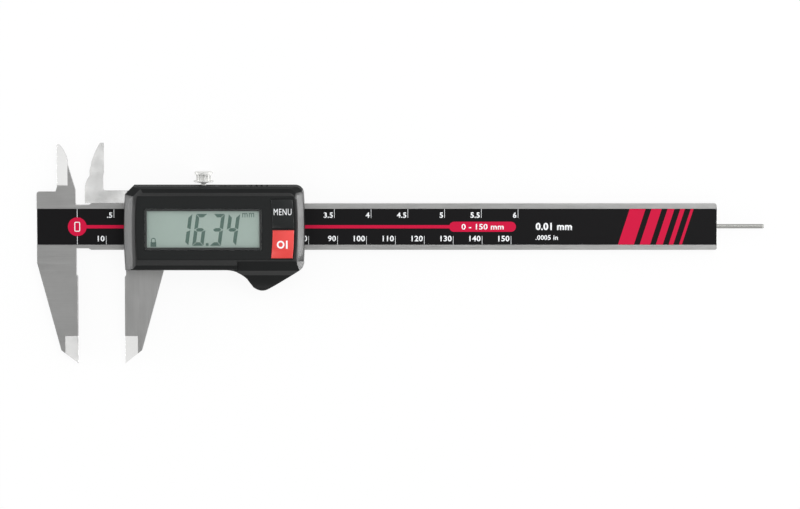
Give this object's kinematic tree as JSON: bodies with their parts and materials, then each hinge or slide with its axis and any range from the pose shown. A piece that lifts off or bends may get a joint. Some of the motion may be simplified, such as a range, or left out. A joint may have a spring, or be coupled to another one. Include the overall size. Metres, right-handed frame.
{
  "type": "digital caliper",
  "caption": "Digital caliper: steel beam with fixed jaws, a sliding jaw frame with a display housing, inside blades, a lock screw and a depth rod.",
  "frame": {"origin": "centre of the whole part's box, on the surface that its back lies on, with the slider set to 16.34 mm", "axes": "+X along the beam towards the depth rod, +Y towards the inside blades, +Z out of the display"},
  "size_m": [0.2516, 0.0766, 0.0153],
  "materials": {
    "beam_steel": "satin ground stainless steel",
    "slider_steel": "satin ground stainless steel",
    "cover_steel": "brushed stainless sheet",
    "screw_steel": "bright",
    "lock_chrome": "polished",
    "rod_steel": "drawn",
    "brass": "plain",
    "scale_circuit": "matte",
    "scale_print": "satin film",
    "housing_plastic": "fine grained",
    "panel_plastic": "satin",
    "window_clear": "clear",
    "lcd_glass": "satin",
    "button_dark": "satin",
    "button_red": "satin",
    "rubber_black": "matte",
    "board_green": "satin",
    "chip_black": "matte",
    "cell_steel": "bright",
    "contact_gold": "plated"
  },
  "bodies": {
    "beam": {"beam_fixed_jaws": "beam_steel", "scale_strip": "scale_circuit", "scale_film": "scale_print", "beam_end_stop": "cover_steel", "end_stop_screws": "screw_steel"},
    "slider": {"slider_frame": "slider_steel", "gib_strip": "brass", "gib_screws": "screw_steel", "scale_wipers": "rubber_black", "back_cover": "cover_steel", "back_cover_screws": "screw_steel", "depth_rod": "rod_steel", "depth_rod_holder": "brass", "holder_pin": "screw_steel", "housing": "housing_plastic", "port_contacts": "contact_gold", "housing_screws": "screw_steel", "housing_gasket": "rubber_black", "sensor_board": "board_green", "circuit_board": "board_green", "board_header": "chip_black", "board_chips": "chip_black", "lcd_panel": "lcd_glass", "lcd_connectors": "rubber_black", "display_window": "window_clear", "front_panel": "panel_plastic", "keypad_membrane": "rubber_black", "battery_cell": "cell_steel", "battery_contacts": "contact_gold"},
    "menu_button": {"menu_button": "button_dark"},
    "zero_button": {"zero_button": "button_red"},
    "clamp_pad": {"clamp_pad": "brass"},
    "lock_screw": {"lock_screw": "lock_chrome"},
    "port_cover": {"port_cover": "housing_plastic"},
    "battery_door": {"battery_door": "housing_plastic"}
  },
  "joints": [
    {"name": "slider_slide", "type": "slide", "parent": "beam", "child": "slider", "axis": [1, 0, 0], "range_m": [-0.01633, 0.13366]},
    {"name": "menu_press", "type": "slide", "parent": "slider", "child": "menu_button", "axis": [0, 0, -1], "range_m": [0, 0.0004], "stiffness_N_per_m": 1500, "springref_m": -0.0003},
    {"name": "zero_press", "type": "slide", "parent": "slider", "child": "zero_button", "axis": [0, 0, -1], "range_m": [0, 0.0004], "stiffness_N_per_m": 1500, "springref_m": -0.0003},
    {"name": "clamp_slide", "type": "slide", "parent": "slider", "child": "clamp_pad", "axis": [0, 1, 0], "range_m": [-0.000083, 0.000416]},
    {"name": "lock_turn", "type": "hinge", "parent": "clamp_pad", "child": "lock_screw", "pos_m": [-0.06803, 0.0213, 0.0036], "axis": [0, 1, 0], "range_deg": [-60, 300]},
    {"name": "port_slide", "type": "slide", "parent": "slider", "child": "port_cover", "axis": [-1, 0, 0], "range_m": [0, 0.009]},
    {"name": "door_slide", "type": "slide", "parent": "slider", "child": "battery_door", "axis": [1, 0, 0], "range_m": [0, 0.0215]}
  ],
  "couplings": [
    {"joint": "lock_turn", "follows": "clamp_slide", "rad_per_m": 12566}
  ]
}
